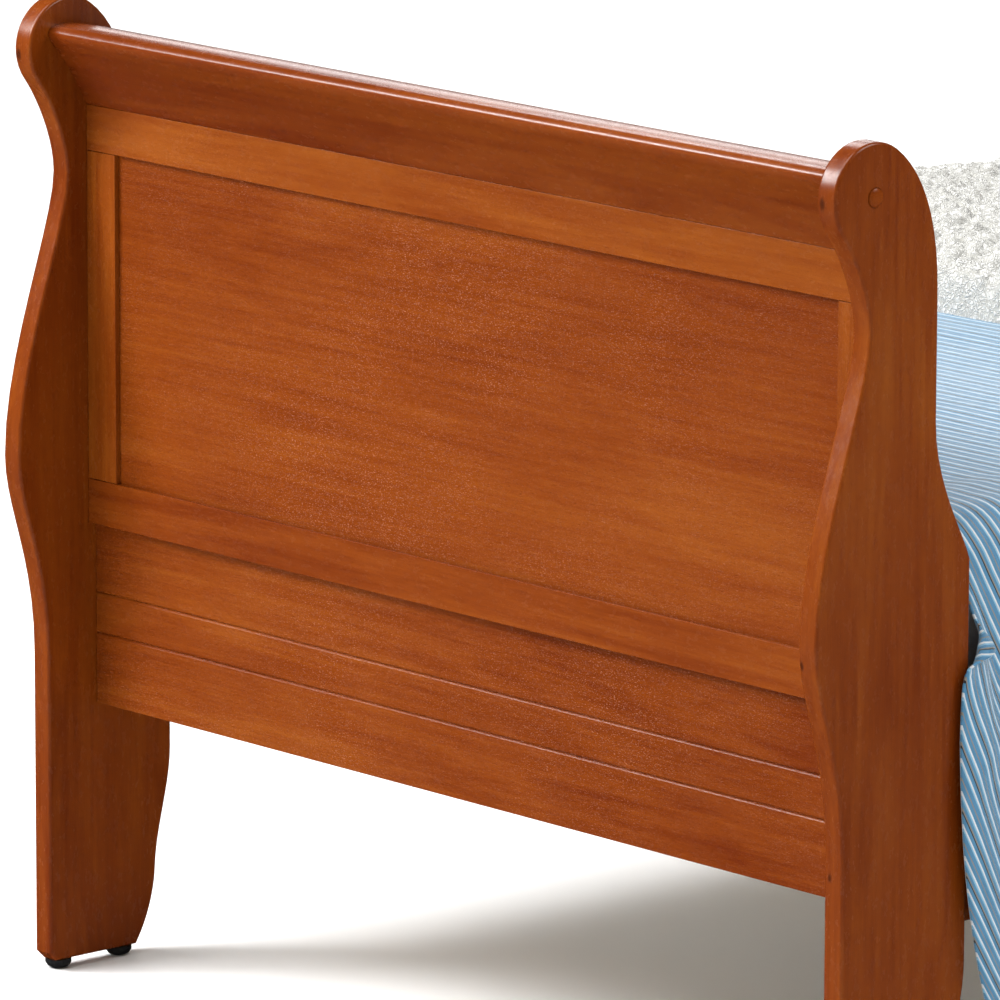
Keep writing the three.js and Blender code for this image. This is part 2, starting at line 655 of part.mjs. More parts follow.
function makeSideRail({ name, side }) {
  const halfLength = postInnerEdge - FIT_GAP;
  const board = block(
    side * railInnerFace, side * railOuterFace,
    -halfLength, halfLength,
    railBottom, railBottom + RAIL_HEIGHT,
  );
  const recesses = ENDS.map((end) => block(
    side * (hookCentre - HOOK_PLATE_WIDTH / 2 - FIT_GAP),
    side * (hookCentre + HOOK_PLATE_WIDTH / 2 + FIT_GAP),
    end.side * (halfLength + 1),
    end.side * (halfLength - HOOK_PLATE_THICKNESS - FIT_GAP),
    plateCentre - HOOK_PLATE_HEIGHT / 2 - FIT_GAP,
    plateCentre + HOOK_PLATE_HEIGHT / 2 + FIT_GAP,
  ));
  addPiece(`side_rail_${name}`, cut(board, recesses), 'wood');

  const ledgerOuter = railInnerFace - FIT_GAP;
  addPiece(
    `ledger_${name}`,
    block(
      side * ledgerOuter, side * (ledgerOuter - LEDGER_WIDTH),
      -halfLength + LEDGER_END_GAP, halfLength - LEDGER_END_GAP,
      ledgerBottom, ledgerBottom + LEDGER_HEIGHT,
    ),
    'slatWood',
  );
}

function makeSlats() {
  const halfLength = railInnerFace - SLAT_END_CLEARANCE;
  const first = -MATTRESS_LENGTH / 2 + SLAT_FIRST_INSET;
  const pitch = -2 * first / (SLAT_COUNT - 1);
  for (let index = 0; index < SLAT_COUNT; index += 1) {
    const centre = first + index * pitch;
    addPiece(
      `slat_${index + 1}`,
      block(
        -halfLength, halfLength,
        centre - SLAT_WIDTH / 2, centre + SLAT_WIDTH / 2,
        slatBottom, slatBottom + SLAT_THICKNESS,
      ),
      'slatWood',
    );
  }
}

// ---------------------------------------------------------------- bedding

// A rounded rectangle pad, carried up from its base.
function pad(bottom, height) {
  const corner = 40;
  const x = MATTRESS_WIDTH / 2;
  const y = MATTRESS_LENGTH / 2;
  const shape = new THREE.Shape();
  shape.moveTo(-x + corner, -y);
  shape.lineTo(x - corner, -y);
  shape.quadraticCurveTo(x, -y, x, -y + corner);
  shape.lineTo(x, y - corner);
  shape.quadraticCurveTo(x, y, x - corner, y);
  shape.lineTo(-x + corner, y);
  shape.quadraticCurveTo(-x, y, -x, y - corner);
  shape.lineTo(-x, -y + corner);
  shape.quadraticCurveTo(-x, -y, -x + corner, -y);
  const geometry = new THREE.ExtrudeGeometry(shape, { depth: height, bevelEnabled: false, curveSegments: 4 });
  geometry.translate(0, 0, bottom);
  return geometry;
}

function makeBedding() {
  addPiece('foundation', pad(foundationBottom, FOUNDATION_HEIGHT), 'foundationCloth');
  addPiece('mattress', pad(mattressBottom, MATTRESS_HEIGHT), 'mattressCloth');

  // Between the posts the cover is no wider than the mattress. Short of them it reaches out to
  // the side drops.
  const narrow = MATTRESS_WIDTH / 2;
  const foot = MATTRESS_LENGTH / 2;
  const dropEnd = postInnerEdge - BEDSPREAD_POST_CLEARANCE;
  addPiece(
    'bedspread_top',
    block(-dropOuterFace, dropOuterFace, -dropEnd, dropEnd, bedspreadBottom, bedspreadTop),
    'bedspreadCloth',
  );
  ENDS.forEach(({ name, side }) => {
    addPiece(
      `${name}_bedspread_flap`,
      block(
        -narrow, narrow,
        side * (dropEnd + FIT_GAP), side * foot,
        bedspreadBottom, bedspreadTop,
      ),
      'bedspreadCloth',
    );
  });

  const throwMiddle = THROW_PLACE * MATTRESS_LENGTH;
  const throwFoot = throwMiddle - THROW_LENGTH / 2;
  const throwHead = throwMiddle + THROW_LENGTH / 2;
  const throwInner = dropOuterFace + FIT_GAP;
  const throwOuter = throwInner + THROW_THICKNESS;
  SIDES.forEach(({ name, side }) => {
    addPiece(
      `bedspread_drop_${name}`,
      block(
        side * dropInnerFace, side * dropOuterFace,
        -dropEnd, dropEnd,
        BEDSPREAD_HEM_HEIGHT + (side === LEFT ? BEDSPREAD_SHIFT : 0), bedspreadBottom - FIT_GAP,
      ),
      'bedspreadCloth',
    );
    addPiece(
      `throw_end_${name}`,
      block(
        side * throwInner, side * throwOuter,
        throwFoot, throwHead,
        throwBottom - THROW_OVERHANG, throwBottom - FIT_GAP,
      ),
      'throwCloth',
    );
  });
  addPiece(
    'throw_top',
    block(-throwOuter, throwOuter, throwFoot, throwHead, throwBottom, throwTop),
    'throwCloth',
  );
}

// ---------------------------------------------------------------- the whole bed

ENDS.forEach((end) => {
  makeEnd(end);
  SIDES.forEach((flank) => {
    makeSlotPlate(end, flank);
    makeHookPlate(end, flank);
  });
});
SIDES.forEach(makeSideRail);
makeSlats();
makeBedding();

export default bed;
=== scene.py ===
"""Single sleigh bed: stained wood, steel, and bedding draped by cloth simulation."""

import math

import bmesh
import bpy
from mathutils import Matrix, Vector, noise


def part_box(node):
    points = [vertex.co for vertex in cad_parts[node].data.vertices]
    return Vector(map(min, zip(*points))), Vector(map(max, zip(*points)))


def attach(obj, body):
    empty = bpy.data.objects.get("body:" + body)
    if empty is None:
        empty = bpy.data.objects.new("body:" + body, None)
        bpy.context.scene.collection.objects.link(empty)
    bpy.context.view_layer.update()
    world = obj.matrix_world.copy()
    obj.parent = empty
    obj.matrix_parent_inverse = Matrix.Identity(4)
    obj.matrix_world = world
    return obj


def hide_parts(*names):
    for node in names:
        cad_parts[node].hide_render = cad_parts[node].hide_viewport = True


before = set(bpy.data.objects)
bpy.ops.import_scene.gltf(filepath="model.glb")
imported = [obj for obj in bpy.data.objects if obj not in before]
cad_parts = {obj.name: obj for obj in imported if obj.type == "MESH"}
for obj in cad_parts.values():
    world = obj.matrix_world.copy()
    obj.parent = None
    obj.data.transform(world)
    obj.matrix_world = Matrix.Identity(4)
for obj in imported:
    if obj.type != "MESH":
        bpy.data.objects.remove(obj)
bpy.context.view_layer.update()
noise.seed_set(1)   # noise_vector starts from the clock otherwise

MM = 0.001
MATTRESS_EDGE = 34 * MM
ENDS = (("footboard", -1), ("headboard", 1))
SIDES = (("left", -1), ("right", 1))

apron_lo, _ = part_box("footboard_apron")
mattress_lo, mattress_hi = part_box("mattress")


# ---------------------------------------------------------------- camera, floor and lights

CAMERA_AZIMUTH = math.radians(48.03)    # from straight in front of the footboard, to its right
CAMERA_ELEVATION = math.radians(11.86)
CAMERA_ROLL = math.radians(0.18)
CAMERA_DISTANCE = 7.852
CAMERA_LENS = 333.1
CAMERA_TARGET = Vector((0.1042, apron_lo.y - 0.0556, 0.5345))


def add_camera():
    azimuth, elevation, roll = CAMERA_AZIMUTH, CAMERA_ELEVATION, CAMERA_ROLL
    back = Vector((
        math.sin(azimuth) * math.cos(elevation),
        -math.cos(azimuth) * math.cos(elevation),
        math.sin(elevation),
    ))
    level = Vector((math.cos(azimuth), math.sin(azimuth), 0))
    upright = back.cross(level)
    right = level * math.cos(roll) + upright * math.sin(roll)
    up = upright * math.cos(roll) - level * math.sin(roll)
    data = bpy.data.cameras.new("camera")
    data.sensor_width = 36
    data.lens = CAMERA_LENS
    data.clip_end = 200
    camera = bpy.data.objects.new("camera", data)
    pose = Matrix((right, up, back)).transposed().to_4x4()
    pose.translation = CAMERA_TARGET + back * CAMERA_DISTANCE
    camera.matrix_world = pose
    bpy.context.scene.collection.objects.link(camera)
    bpy.context.scene.camera = camera


def add_softbox(name, place, aim, size, power):
    data = bpy.data.lights.new(name, "AREA")
    data.shape = "RECTANGLE"
    data.size, data.size_y = size
    data.energy = power
    light = bpy.data.objects.new(name, data)
    light.location = place
    light.rotation_euler = (Vector(aim) - Vector(place)).to_track_quat("-Z", "Y").to_euler()
    bpy.context.scene.collection.objects.link(light)


def add_world():
    world = bpy.data.worlds.new("studio")
    world.use_nodes = True
    shade = world.node_tree.nodes["Background"]
    shade.inputs["Color"].default_value = (1.0, 0.985, 0.96, 1)
    shade.inputs["Strength"].default_value = 0.34
    world.cycles_visibility.glossy = False
    bpy.context.scene.world = world


def add_sun(name, towards, angle, strength):
    """A distant, very large lamp, so that the floor is as bright far away as near the bed."""
    data = bpy.data.lights.new(name, "SUN")
    data.energy = strength
    data.angle = math.radians(angle)
    light = bpy.data.objects.new(name, data)
    light.rotation_euler = Vector(towards).to_track_quat("Z", "Y").to_euler()
    bpy.context.scene.collection.objects.link(light)


def add_studio():
    add_world()
    add_sun("overcast", (-0.30, -0.42, 0.86), 50, 2.7)
    add_softbox("key", (-2.0, -3.3, 2.7), (-0.3, -1.0, 0.7), (2.0, 1.3), 68)
    add_softbox("glint", (-2.7, -3.2, 2.65), (0, -1.0, 0.8), (1.0, 1.3), 80)
    add_softbox("side", (1.7, 0.1, 2.5), (0.5, -0.7, 0.7), (1.2, 1.0), 32)
    add_softbox("rim", (-4.6, 4.1, 2.4), (0.3, 0, 0.6), (3.0, 1.6), 44)
    add_softbox("crown", (-4.0, 2.2, 4.0), (0.3, -0.9, 0.8), (1.2, 0.8), 26)
    add_floor(60)
    view = bpy.context.scene.view_settings
    view.view_transform = "Standard"
    view.look = "None"


def add_floor(reach):
    """A white floor that shows in no reflection, so that it puts no haze on the wood."""
    mesh = bpy.data.meshes.new("floor")
    corners = [(-reach, -reach, 0), (reach, -reach, 0), (reach, reach, 0), (-reach, reach, 0)]
    mesh.from_pydata(corners, [], [(0, 1, 2, 3)])
    floor = bpy.data.objects.new("floor", mesh)
    bpy.context.scene.collection.objects.link(floor)
    paint = Nodes("pale_floor", roughness=0.95, specular=0.0)
    paint.set("Base Color", (0.95, 0.95, 0.95, 1))
    mesh.materials.append(paint.material)
    floor.visible_glossy = False


# ---------------------------------------------------------------- node helpers

class Nodes:
    """A material's node tree, with short calls for what the materials here share."""

    def __init__(self, name, roughness=0.5, specular=0.5):
        self.material = bpy.data.materials.new(name)
        self.material.use_nodes = True
        self.tree = self.material.node_tree
        self.shader = self.tree.nodes["Principled BSDF"]
        self.set("Roughness", roughness)
        self.set("Specular IOR Level", specular)

    def set(self, socket, value):
        self.shader.inputs[socket].default_value = value

    def drive(self, socket, output):
        self.tree.links.new(output, self.shader.inputs[socket])

    def add(self, kind, inputs=None, **settings):
        node = self.tree.nodes.new("ShaderNode" + kind)
        for key, value in settings.items():
            setattr(node, key, value)
        for key, value in (inputs or {}).items():
            if isinstance(value, bpy.types.NodeSocket):
                self.tree.links.new(value, node.inputs[key])
            else:
                node.inputs[key].default_value = value
        return node

    def math(self, operation, first, second=0.0):
        return self.add("Math", {0: first, 1: second}, operation=operation).outputs[0]

    def place(self, source="Object", scale=(1, 1, 1), offset=(0, 0, 0), turn=(0, 0, 0)):
        where = self.add("TexCoord").outputs[source]
        inputs = {"Vector": where, "Scale": scale, "Location": offset, "Rotation": turn}
        return self.add("Mapping", inputs).outputs[0]

    def noise(self, vector, scale, detail=2.0, rough=0.5, distortion=0.0):
        inputs = {
            "Vector": vector, "Scale": scale, "Detail": detail,
            "Roughness": rough, "Distortion": distortion,
        }
        return self.add("TexNoise", inputs).outputs["Fac"]

    def threads(self, vector, direction, pitch):
        """A thread every pitch metres along one axis."""
        inputs = {"Vector": vector, "Scale": 2 * math.pi / (20 * pitch), "Distortion": 0.0}
        return self.add("TexWave", inputs, bands_direction=direction).outputs["Fac"]

    def ramp(self, value, stops, interpolation="LINEAR"):
        node = self.add("ValToRGB", {"Fac": value})
        ramp = node.color_ramp
        ramp.interpolation = interpolation
        while len(ramp.elements) < len(stops):
            ramp.elements.new(0.5)
        for element, (position, colour) in zip(ramp.elements, stops):
            element.position = position
            element.color = colour if hasattr(colour, "__len__") else (colour,) * 3 + (1,)
        return node.outputs["Color"]

    def mix(self, factor, first, second, blend="MIX"):
        node = self.add("Mix", data_type="RGBA", blend_type=blend)
        for index, value in ((0, factor), (6, first), (7, second)):
            if isinstance(value, bpy.types.NodeSocket):
                self.tree.links.new(value, node.inputs[index])
            else:
                node.inputs[index].default_value = value
        return node.outputs[2]

    def bump(self, *layers):
        """Bumps from (height, distance) pairs, one over the other."""
        normal = None
        for height, distance in layers:
            inputs = {"Height": height, "Distance": distance, "Strength": 1.0}
            if normal is not None:
                inputs["Normal"] = normal
            normal = self.add("Bump", inputs).outputs[0]
        self.drive("Normal", normal)


# ---------------------------------------------------------------- materials

WOOD = ((0.122, 0.0165, 0.0010, 1), (0.194, 0.0370, 0.0028, 1), (0.262, 0.0640, 0.0060, 1))
# the colour of the painted glints where the lacquer in the open pores catches the light
PORE_GLINT = (0.46, 0.19, 0.11, 1)
KNOT = (0.055, 0.010, 0.002, 1)


def wood(name, grain, seed, open_pores=0.5, tone=0.0, figure=1.0, gloss=0.15, knots=()):
    """Stained hardwood under semi-gloss lacquer, with painted glints in its open pores. grain is
    the axis, 0 to 2, that it runs along.
    """
    m = Nodes(name, specular=gloss)
    shift = (seed * 1.37, seed * 2.11, seed * 0.73)

    def along(ratio, source_scale=1.0):
        scale = [source_scale if axis == grain else source_scale * ratio for axis in range(3)]
        return m.place(scale=scale, offset=shift)

    broad = m.noise(along(2.4), 1.9, 3, 0.5, 0.5)
    growth = m.noise(along(9.0), 1.5, 4, 0.6, 1.2)
    bands = m.math("PINGPONG", m.math("MULTIPLY", growth, 9.0), 1.0)
    streaks = m.noise(along(34.0), 5.0, 3, 0.6)
    fibre = m.noise(along(14.0), 62.0, 2, 0.6)

    tint = m.math("MULTIPLY", m.math("SUBTRACT", broad, 0.5), 1.25 * figure)
    for layer, weight in ((bands, 0.20 * figure), (streaks, 0.62), (fibre, 0.42)):
        offset = m.math("SUBTRACT", layer, 0.5)
        tint = m.math("ADD", tint, m.math("MULTIPLY", offset, weight))
    tint = m.math("ADD", tint, 0.5 + tone)
    body = m.ramp(tint, [(0.08, WOOD[0]), (0.50, WOOD[1]), (0.92, WOOD[2])])

    pores = m.noise(along(3.2), 330.0, 1, 0.5)
    dark_pores = m.ramp(pores, [(0.26, 1.0), (0.40, 0.0)])
    body = m.mix(m.math("MULTIPLY", dark_pores, 0.42), body, WOOD[0])
    # painted highlights: pale pink specks, denser in patches, stand in for the lacquer's sparkle in
    # the open pores
    glint_patches = m.ramp(m.noise(along(1.5), 4.2, 3, 0.6), [(0.34, 0.12), (0.66, 1.0)])
    specks = m.ramp(m.noise(along(2.0), 520.0, 1, 0.5), [(0.58, 0.0), (0.74, 1.0)])
    painted_pore_glints = m.math("MULTIPLY", specks, glint_patches)
    body = m.mix(m.math("MULTIPLY", painted_pore_glints, 0.55 * open_pores), body, PORE_GLINT)
    for (across, up), (half_width, half_height) in knots:
        near = m.add("VectorMath", {
            0: m.place(offset=(-across, 0, -up)), 1: (1 / half_width, 0, 1 / half_height),
        }, operation="MULTIPLY").outputs[0]
        radius = m.add("VectorMath", {0: near}, operation="LENGTH").outputs["Value"]
        ragged = m.math("ADD", radius, m.math("MULTIPLY", m.math("SUBTRACT", fibre, 0.5), 0.9))
        dark = m.ramp(ragged, [(0.0, 0.95), (0.45, 0.8), (0.7, 0.25), (1.0, 0.0)])
        body = m.mix(dark, body, KNOT)
    m.drive("Base Color", body)
    polish = m.noise(along(2.0), 90.0, 3, 0.6)
    m.drive("Roughness", m.add("MapRange", {
        "Value": polish, "From Min": 0.3, "From Max": 0.7, "To Min": 0.20, "To Max": 0.30,
    }).outputs[0])
    m.bump(
        (fibre, 0.03 * MM), (dark_pores, -0.10 * MM * open_pores), (specks, 0.06 * MM * open_pores),
    )
    return m.material


def pale_wood(name, grain, seed):
    """Planed softwood for the slats and ledgers."""
    m = Nodes(name, roughness=0.62, specular=0.3)
    scale = [1 if axis == grain else 9 for axis in range(3)]
    where = m.place(scale=scale, offset=(seed * 0.9, seed * 0.4, seed * 1.3))
    lines = m.noise(where, 8, 5, 0.6, 0.4)
    stops = [(0.3, (0.42, 0.27, 0.12, 1)), (0.7, (0.68, 0.50, 0.28, 1))]
    m.drive("Base Color", m.ramp(lines, stops))
    m.bump((lines, 0.3 * MM))
    return m.material


def zinc(name):
    """Zinc-plated steel for the hooks, plates and screws."""
    m = Nodes(name, roughness=0.34)
    m.set("Metallic", 1.0)
    cloud = m.noise(m.place(), 160, 3)
    stops = [(0.3, (0.46, 0.47, 0.48, 1)), (0.7, (0.66, 0.66, 0.64, 1))]
    m.drive("Base Color", m.ramp(cloud, stops))
    m.bump((m.noise(m.place(), 900, 2), 0.05 * MM))
    return m.material


def nylon(name):
    """Black plastic for the glides."""
    m = Nodes(name, roughness=0.42, specular=0.5)
    scuffs = m.noise(m.place(), 240, 3)
    stops = [(0.35, (0.010, 0.010, 0.011, 1)), (0.75, (0.030, 0.029, 0.028, 1))]
    m.drive("Base Color", m.ramp(scuffs, stops))
    m.bump((scuffs, 0.08 * MM))
    return m.material


def ticking(name, colour, pitch):
    """Plain woven cover cloth."""
    m = Nodes(name, roughness=0.9, specular=0.2)
    where = m.place()
    weave = m.math("MULTIPLY", m.threads(where, "X", pitch), m.threads(where, "Y", pitch))
    dark = tuple(0.82 * c for c in colour) + (1,)
    m.drive("Base Color", m.mix(weave, dark, colour + (1,)))
    m.bump((weave, 0.25 * MM))
    m.set("Sheen Weight", 0.2)
    return m.material


STRIPE_REPEAT = 27 * MM
BLUE = (0.092, 0.310, 0.540, 1)
SKY = (0.270, 0.580, 0.800, 1)
WHITE = (0.860, 0.880, 0.900, 1)
TAN = (0.360, 0.320, 0.260, 1)
INK = (0.022, 0.022, 0.030, 1)
# where each stripe starts, in 24ths of the repeat, and its colour
STRIPES = (
    (0.0, WHITE), (1.7, BLUE), (5.4, TAN), (6.6, BLUE), (10.6, SKY), (12.0, WHITE),
    (13.6, BLUE), (17.2, INK), (18.2, TAN), (19.6, BLUE), (22.4, SKY),
)


def striped_cloth(name):
    """Woven stripes that run across the bed. The UV map holds the cut cloth's own metres."""
    m = Nodes(name, roughness=0.42, specular=0.7)
    flat = m.place("UV")
    across = m.add("SeparateXYZ", {0: flat}).outputs[1]
    wander = m.noise(flat, 9.0, 2)
    across = m.math("ADD", across, m.math("MULTIPLY", wander, 1.2 * MM))
    share = m.math("FRACT", m.math("DIVIDE", across, STRIPE_REPEAT))
    stops = [(start / 24, colour) for start, colour in STRIPES]
    stripes = m.ramp(share, stops, "CONSTANT")
    weave = m.math("MULTIPLY", m.threads(flat, "X", 1.1 * MM), m.threads(flat, "Y", 0.9 * MM))
    slub = m.noise(m.place("UV", scale=(1, 14, 1)), 60, 3)
    shade = m.ramp(slub, [(0.3, 0.80), (0.7, 1.0)])
    m.drive("Base Color", m.mix(1.0, stripes, shade, "MULTIPLY"))
    creases = m.noise(m.place("UV", scale=(1, 1.6, 1)), 16, 4, 0.55, 0.6)
    m.bump((creases, 2.0 * MM), (weave, 0.22 * MM))
    m.set("Sheen Weight", 1.0)
    m.set("Sheen Roughness", 0.22)
    m.set("Sheen Tint", (0.92, 0.97, 1.0, 1))
    return m.material


def curly_pile(name):
    """Off-white curls: ridges of a bent noise, with painted shade in grey between them and white on
    top.
    """
    m = Nodes(name, roughness=0.85, specular=0.2)
    where = m.place()
    bend = m.add("TexNoise", {"Vector": where, "Scale": 120.0, "Detail": 1.0}).outputs["Color"]
    curl = m.add("VectorMath", {0: bend, 1: (0.014,) * 3}, operation="MULTIPLY").outputs[0]
    bent = m.add("VectorMath", {0: where, 1: curl}, operation="ADD").outputs[0]
    strands = m.noise(bent, 260, 1, 0.5)
    ridge = m.math("PINGPONG", m.math("MULTIPLY", strands, 4.0), 1.0)
    # painted shade: grey in the hollows between the curls, white on their tops
    stops = [(0.0, (0.47, 0.465, 0.425, 1)), (0.55, (0.76, 0.757, 0.73, 1))]
    m.drive("Base Color", m.ramp(ridge, stops))
    m.bump((ridge, 1.5 * MM), (m.noise(where, 1100, 2, 0.6, 1.5), 0.3 * MM))
    m.set("Sheen Weight", 0.2)
    m.set("Sheen Roughness", 0.5)
    return m.material


# ---------------------------------------------------------------- mesh helpers

def finish_piece(name, mesh, material, body, nodes=()):
    """Adds a mesh as a piece on its body, in place of the CAD nodes that it stands for."""
    mesh.name = name
    mesh.materials.clear()
    mesh.materials.append(material)
    piece = bpy.data.objects.new(name, mesh)
    bpy.context.scene.collection.objects.link(piece)
    if nodes:
        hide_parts(*nodes)
    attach(piece, body)
    return piece


def node_mesh(node):
    """A welded copy of a CAD node's mesh with its flat faces joined up."""
    bm = bmesh.new()
    bm.from_mesh(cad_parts[node].data)
    bmesh.ops.remove_doubles(bm, verts=bm.verts, dist=1e-6)
    bmesh.ops.dissolve_limit(bm, angle_limit=math.radians(0.4), verts=bm.verts, edges=bm.edges)
    return bm


def eased(node, width, chosen, segments=3):
    """A CAD node's shape with the chosen sharp edges rounded, and everything else as it was."""
    bm = node_mesh(node)
    sharp = math.radians(35)
    edges = [
        edge for edge in bm.edges
        if len(edge.link_faces) == 2 and edge.calc_face_angle(0) > sharp
        and chosen(edge.verts[0].co, edge.verts[1].co)
    ]
    if edges:
        bmesh.ops.bevel(
            bm, geom=edges, offset=width, segments=segments, profile=0.5,
            affect="EDGES", clamp_overlap=False,
        )
    for face in bm.faces:
        face.smooth = True
    for edge in bm.edges:
        edge.smooth = len(edge.link_faces) == 2 and edge.calc_face_angle(0) < math.radians(30)
    mesh = bpy.data.meshes.new(node)
    bm.to_mesh(mesh)
    bm.free()
    return mesh


def add_even_shading(piece):
    modifier = piece.modifiers.new("even_shading", "WEIGHTED_NORMAL")
    modifier.keep_sharp = True


def rounded_block(lo, hi, radius, steps=6, spacing=0.05):
    """A block with round edges, as an evenly spaced mesh."""
    size = Vector(hi) - Vector(lo)
    centre = (Vector(hi) + Vector(lo)) / 2
    bm = bmesh.new()
    bmesh.ops.create_cube(bm, size=1)
    for vert in bm.verts:
        vert.co = Vector(v * s for v, s in zip(vert.co, size))
    bmesh.ops.bevel(
        bm, geom=list(bm.edges), offset=radius, segments=steps, profile=0.5,
        affect="EDGES", clamp_overlap=True,
    )
    for axis in range(3):
        reach = size[axis] / 2 - radius
        count = max(1, round(2 * reach / spacing))
        normal = Vector([1 if a == axis else 0 for a in range(3)])
        for index in range(1, count):
            place = normal * (-reach + 2 * reach * index / count)
            geometry = list(bm.verts) + list(bm.edges) + list(bm.faces)
            bmesh.ops.bisect_plane(bm, geom=geometry, plane_co=place, plane_no=normal)
    for vert in bm.verts:
        vert.co += centre
    for face in bm.faces:
        face.smooth = True
    mesh = bpy.data.meshes.new("block")
    bm.to_mesh(mesh)
    bm.free()
    return mesh


# ---------------------------------------------------------------- wooden parts

def in_joinery(end, side, point):
    """Whether a point on a post's face is the mouth of a mortise or of the screw's bore."""
    names = [f"{end}_{part}" for part in ("upper_rail", "mid_rail", "apron")]
    names.append(f"{end}_plug_{side}")
    for name in names:
        lo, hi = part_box(name)
        spare = MM
        if lo.y - spare < point.y < hi.y + spare and lo.z - spare < point.z < hi.z + spare:
            return True
    return False


# the knots on each post's outward edge: places from the post's middle and the floor, and half sizes
POST_KNOTS = {
    ("footboard", "right"): (
        ((-4 * MM, 0.845), (5 * MM, 8 * MM)),
        ((-7 * MM, 0.464), (3 * MM, 6 * MM)),
        ((-4 * MM, 0.281), (3 * MM, 6 * MM)),
    ),
    ("footboard", "left"): (
        ((-5 * MM, 0.843), (5 * MM, 8 * MM)),
    ),
}


def make_post(end, side, seed, knots):
    node = f"{end}_post_{side}"
    lo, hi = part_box(node)

    def on_outline(a, b):
        flat = any(abs(a.x - x) < 1e-5 and abs(b.x - x) < 1e-5 for x in (lo.x, hi.x))
        return flat and not in_joinery(end, side, (a + b) / 2)

    mesh = eased(node, 3.2 * MM, on_outline, segments=4)
    middle = (lo.x + hi.x) / 2
    knots = [((middle + across, up), half_size) for (across, up), half_size in knots]
    material = wood(f"{node}_wood", 2, seed, open_pores=0.04, tone=-0.04, gloss=0.3, knots=knots)
    piece = finish_piece(f"{node}_eased", mesh, material, "bedstead", [node])
    add_even_shading(piece)


def make_board(node, grain, seed, width, **look):
    """A rail, stile, panel or apron with its outward edges eased."""
    lo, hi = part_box(node)
    outward = 1 if (lo.y + hi.y) > 0 else -1
    face = hi.y if outward > 0 else lo.y

    def on_face(a, b):
        return abs(a.y - face) < 1e-5 and abs(b.y - face) < 1e-5

    mesh = eased(node, width, on_face, segments=2)
    material = wood(f"{node}_wood", grain, seed, **look)
    piece = finish_piece(f"{node}_eased", mesh, material, "bedstead", [node])
    add_even_shading(piece)


def make_end(end, seed):
    for index, (side, _) in enumerate(SIDES):
        make_post(end, side, seed + 2.3 * index, POST_KNOTS.get((end, side), ()))
        make_board(f"{end}_stile_{side}", 2, seed + 0.4 + index, 0.7 * MM, open_pores=0.4, tone=0.3)
        make_board(f"{end}_plug_{side}", 1, seed + 0.9 + index, 0.0, open_pores=0.3)
    make_board(f"{end}_crest_rail", 0, seed + 3.1, 0.0, open_pores=0.04, tone=-0.08, gloss=0.35)
    make_board(f"{end}_upper_rail", 0, seed + 4.2, 0.7 * MM, tone=0.16)
    make_board(f"{end}_mid_rail", 0, seed + 5.3, 0.7 * MM, open_pores=0.3)
    make_board(f"{end}_panel", 0, seed + 6.4, 0.0, open_pores=1.0, figure=0.7)
    make_board(f"{end}_apron", 0, seed + 7.5, 1.2 * MM, open_pores=1.0)


def make_base():
    for index, (side, _) in enumerate(SIDES):
        node = f"side_rail_{side}"

        def on_long_edge(a, b):
            return abs(a.y - b.y) > 0.5

        mesh = eased(node, 2 * MM, on_long_edge, segments=3)
        material = wood(f"{node}_wood", 1, 21 + index, 0.6, -0.04)
        piece = finish_piece(f"{node}_eased", mesh, material, "rail_set", [node])
        add_even_shading(piece)
        paint(f"ledger_{side}", pale_wood(f"ledger_{side}_wood", 1, 3 + index))
    slats = sorted(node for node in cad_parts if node.startswith("slat_"))
    for index, node in enumerate(slats, 1):
        paint(node, pale_wood(f"{node}_wood", 0, index))


def paint(node, material):
    mesh_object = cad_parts[node]
    for slot in mesh_object.material_slots:
        slot.material = material


def make_hardware():
    steel = zinc("zinc_steel")
    plastic = nylon("black_nylon")
    for end, _ in ENDS:
        for side, _ in SIDES:
            paint(f"{end}_slot_plate_{side}", steel)
            paint(f"{end}_rail_hook_{side}", steel)
            paint(f"{end}_crest_screw_{side}", steel)
            for glide in ("outer", "inner"):
                paint(f"{end}_glide_{side}_{glide}", plastic)


# ---------------------------------------------------------------- bedding

def loop_path(lo, hi, corner, level, steps=6):
    """Points round a rectangle with round corners, at one level."""
    points = []
    for cx, cy, start in (
        (hi.x - corner, hi.y - corner, 0), (lo.x + corner, hi.y - corner, 90),
        (lo.x + corner, lo.y + corner, 180), (hi.x - corner, lo.y + corner, 270),
    ):
        for index in range(steps + 1):
            angle = math.radians(start + 90 * index / steps)
            points.append(Vector((
                cx + corner * math.cos(angle), cy + corner * math.sin(angle), level,
            )))
    return points


def add_tube(bm, points, radius, sides=8):
    """Adds a closed ring of round section that runs through the points."""
    rings = []
    for index, point in enumerate(points):
        ahead = (points[(index + 1) % len(points)] - points[index - 1]).normalized()
        out = ahead.cross(Vector((0, 0, 1)))
        rings.append([
            bm.verts.new(point + radius * (
                math.cos(2 * math.pi * k / sides) * out
                + math.sin(2 * math.pi * k / sides) * Vector((0, 0, 1))
            ))
            for k in range(sides)
        ])
    for index, ring in enumerate(rings):
        after = rings[(index + 1) % len(rings)]
        for k in range(sides):
            face = bm.faces.new((ring[k], after[k], after[(k + 1) % sides], ring[(k + 1) % sides]))
            face.smooth = True


def add_piping(name, lo, hi, edge, corner, material):
    """Two corded seams, along the top and the bottom edges of a pad."""
    bm = bmesh.new()
    inset = edge * (1 - math.sqrt(0.5))
    for level in (lo.z + inset, hi.z - inset):
        near = Vector((lo.x + inset, lo.y + inset, 0))
        far = Vector((hi.x - inset, hi.y - inset, 0))
        add_tube(bm, loop_path(near, far, corner, level), 3.5 * MM)
    bmesh.ops.recalc_face_normals(bm, faces=bm.faces)
    mesh = bpy.data.meshes.new(name)
    bm.to_mesh(mesh)
    bm.free()
    return finish_piece(name, mesh, material, "bedding")


PAD_PULL = 2.4 * MM     # the end corners of a pad pull in by this much at its top and bottom
PAD_CROWN = 3 * MM      # and its top is this much lower round the edge


